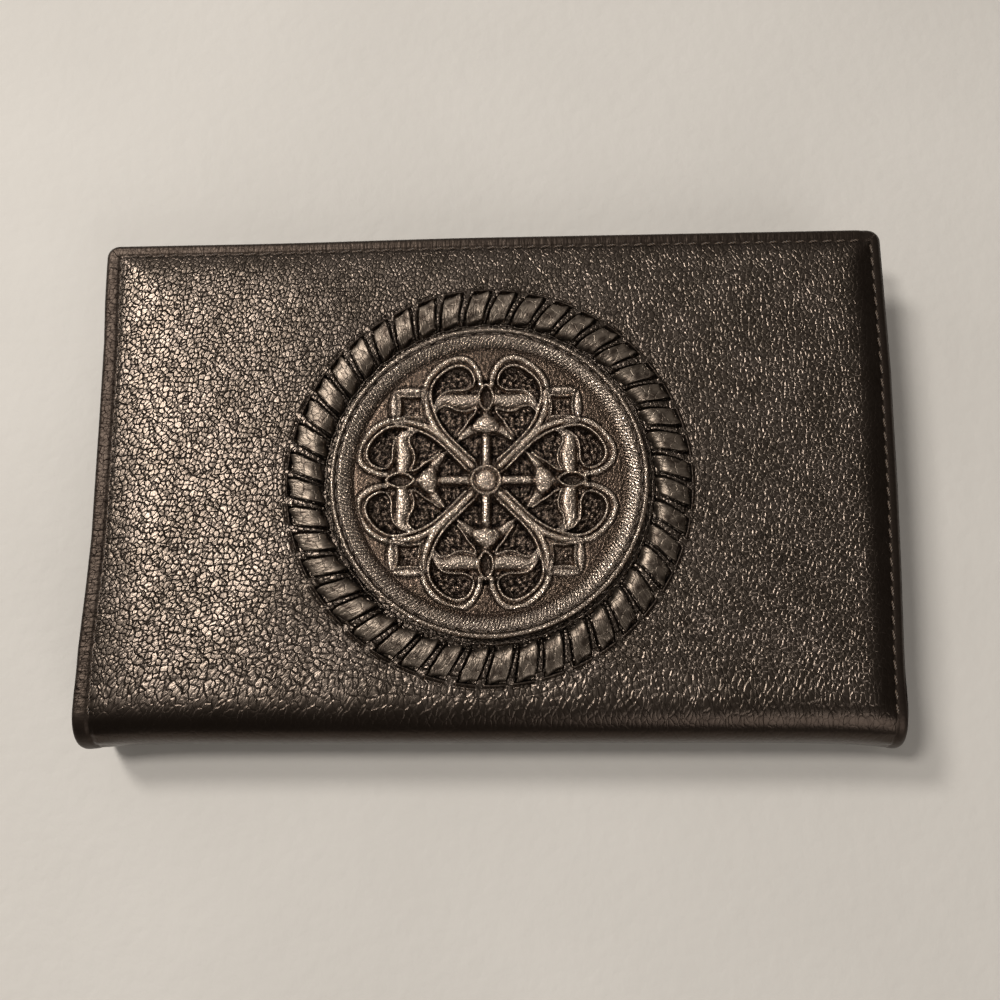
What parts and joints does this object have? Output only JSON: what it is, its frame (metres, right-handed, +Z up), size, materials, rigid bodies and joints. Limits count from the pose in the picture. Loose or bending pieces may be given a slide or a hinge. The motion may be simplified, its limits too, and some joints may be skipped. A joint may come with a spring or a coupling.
{
  "type": "leather clutch wallet",
  "caption": "Folding leather clutch wallet with a padded cover, laced round medallion, card pockets and a zipped coin pouch inside; opens flat at the fold.",
  "frame": {"origin": "middle of the underside of the closed wallet, as it lies on its back cover", "axes": "+X along the fold to the right of the medallion, +Y from the fold to the free edge, +Z up through the medallion"},
  "size_m": [0.186, 0.118, 0.0229],
  "materials": {
    "outer_leather": "pebbled, bronze pearl finish",
    "inner_leather": "smooth, satin",
    "lining_cloth": "woven",
    "grey_board": "matt",
    "padding_felt": "soft",
    "magnet_steel": "plated",
    "zip_tape": "woven",
    "zip_brass": "aged, satin"
  },
  "bodies": {
    "back_cover": {"back_leather": "outer_leather", "back_board": "grey_board", "back_lining": "lining_cloth", "back_magnet_left": "magnet_steel", "back_magnet_right": "magnet_steel", "coin_pouch_back": "inner_leather", "coin_pouch_front": "inner_leather", "slip_pocket": "inner_leather", "coin_pouch_gusset_left": "inner_leather", "coin_pouch_gusset_right": "inner_leather", "coin_pouch_gusset_bottom": "inner_leather", "zip_tape_lower": "zip_tape", "zip_tape_upper": "zip_tape", "zip_teeth_lower": "zip_brass", "zip_teeth_upper": "zip_brass", "zip_stop_left": "zip_brass", "zip_stop_right": "zip_brass"},
    "spine": {"spine_leather": "outer_leather", "spine_lining": "lining_cloth"},
    "front_cover": {"front_leather": "outer_leather", "front_padding": "padding_felt", "front_board": "grey_board", "front_lining": "lining_cloth", "front_magnet_left": "magnet_steel", "front_magnet_right": "magnet_steel", "card_pocket_left_1": "inner_leather", "card_pocket_left_2": "inner_leather", "card_pocket_left_3": "inner_leather", "card_pocket_right_1": "inner_leather", "card_pocket_right_2": "inner_leather", "card_pocket_right_3": "inner_leather", "medallion_padding": "padding_felt", "medallion_disc": "outer_leather", "medallion_lacing": "outer_leather"},
    "slider": {"zip_slider": "zip_brass"},
    "pull": {"zip_pull": "zip_brass"}
  },
  "joints": [
    {"name": "spine_fold", "type": "hinge", "parent": "back_cover", "child": "spine", "pos_m": [0, -0.05592, 0.00308], "axis": [1, 0, 0], "range_deg": [0, 86]},
    {"name": "cover_fold", "type": "hinge", "parent": "spine", "child": "front_cover", "pos_m": [0, -0.05592, 0.01792], "axis": [1, 0, 0], "range_deg": [0, 86]},
    {"name": "zip_slide", "type": "slide", "parent": "back_cover", "child": "slider", "axis": [-1, 0, 0], "range_m": [0, 0.154]},
    {"name": "pull_swing", "type": "hinge", "parent": "slider", "child": "pull", "pos_m": [0.0771, 0.0541, 0.0053], "axis": [0, 0, -1], "range_deg": [0, 180]}
  ],
  "couplings": [
    {"joint": "cover_fold", "follows": "spine_fold", "ratio": 1}
  ]
}
